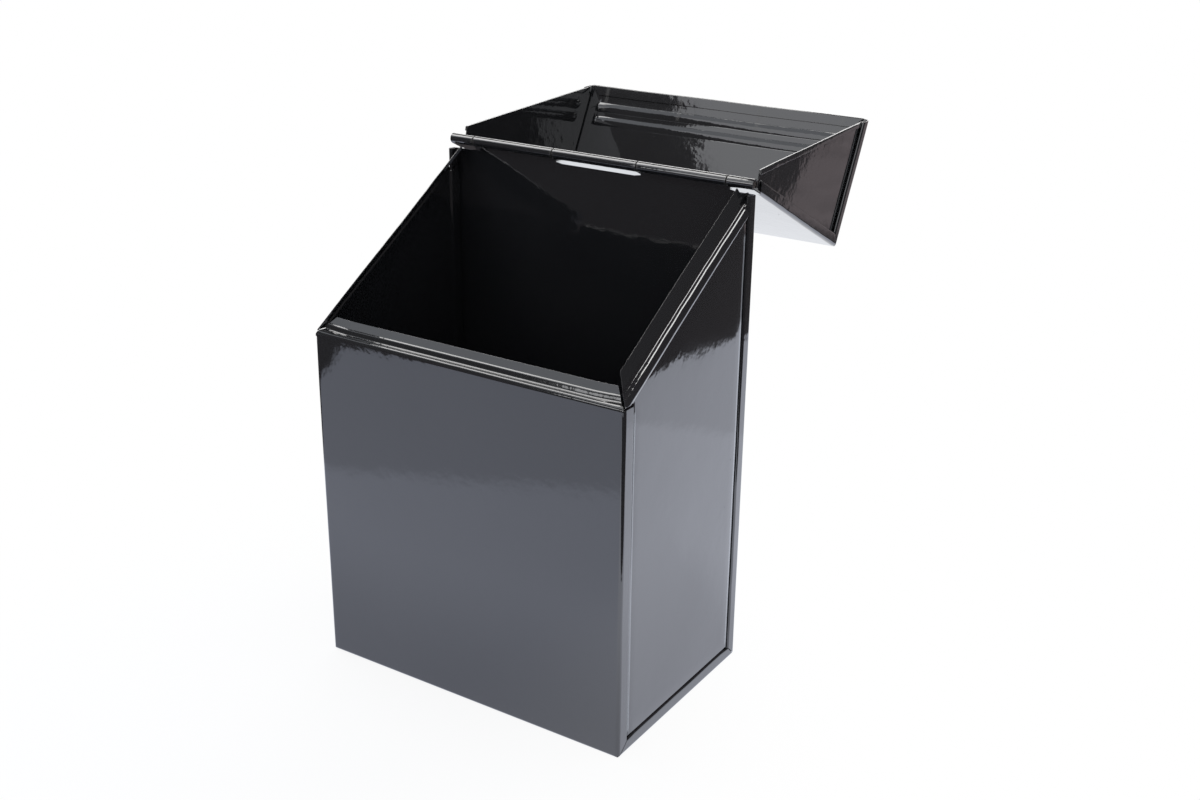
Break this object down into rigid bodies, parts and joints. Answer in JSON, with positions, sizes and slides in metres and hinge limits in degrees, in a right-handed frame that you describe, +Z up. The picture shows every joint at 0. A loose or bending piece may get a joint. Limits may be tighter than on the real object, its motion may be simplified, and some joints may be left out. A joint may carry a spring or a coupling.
{
  "type": "kindling box",
  "caption": "Folded sheet-steel box with a sloping mouth and a hinged, hooded lid that swings over the back, for kindling or fire lighters beside a stove.",
  "frame": {"origin": "middle of the box's underside, on the surface it stands on", "axes": "+Z up, front of the box faces -Y, lid hinge along X at the top of the back"},
  "size_m": [0.15, 0.204, 0.2216],
  "materials": {
    "black_enamel": "gloss",
    "hinge_wire": "gloss"
  },
  "bodies": {
    "box": {"box_wrapper": "black_enamel", "side_panel_left": "black_enamel", "side_panel_right": "black_enamel", "hinge_pin": "hinge_wire"},
    "lid": {"lid_wrapper": "black_enamel", "lid_cheek_left": "black_enamel", "lid_cheek_right": "black_enamel"}
  },
  "joints": [
    {"name": "lid_hinge", "type": "hinge", "parent": "box", "child": "lid", "pos_m": [0, 0.046, 0.21323], "axis": [1, 0, 0], "range_deg": [0, 209.1]}
  ]
}
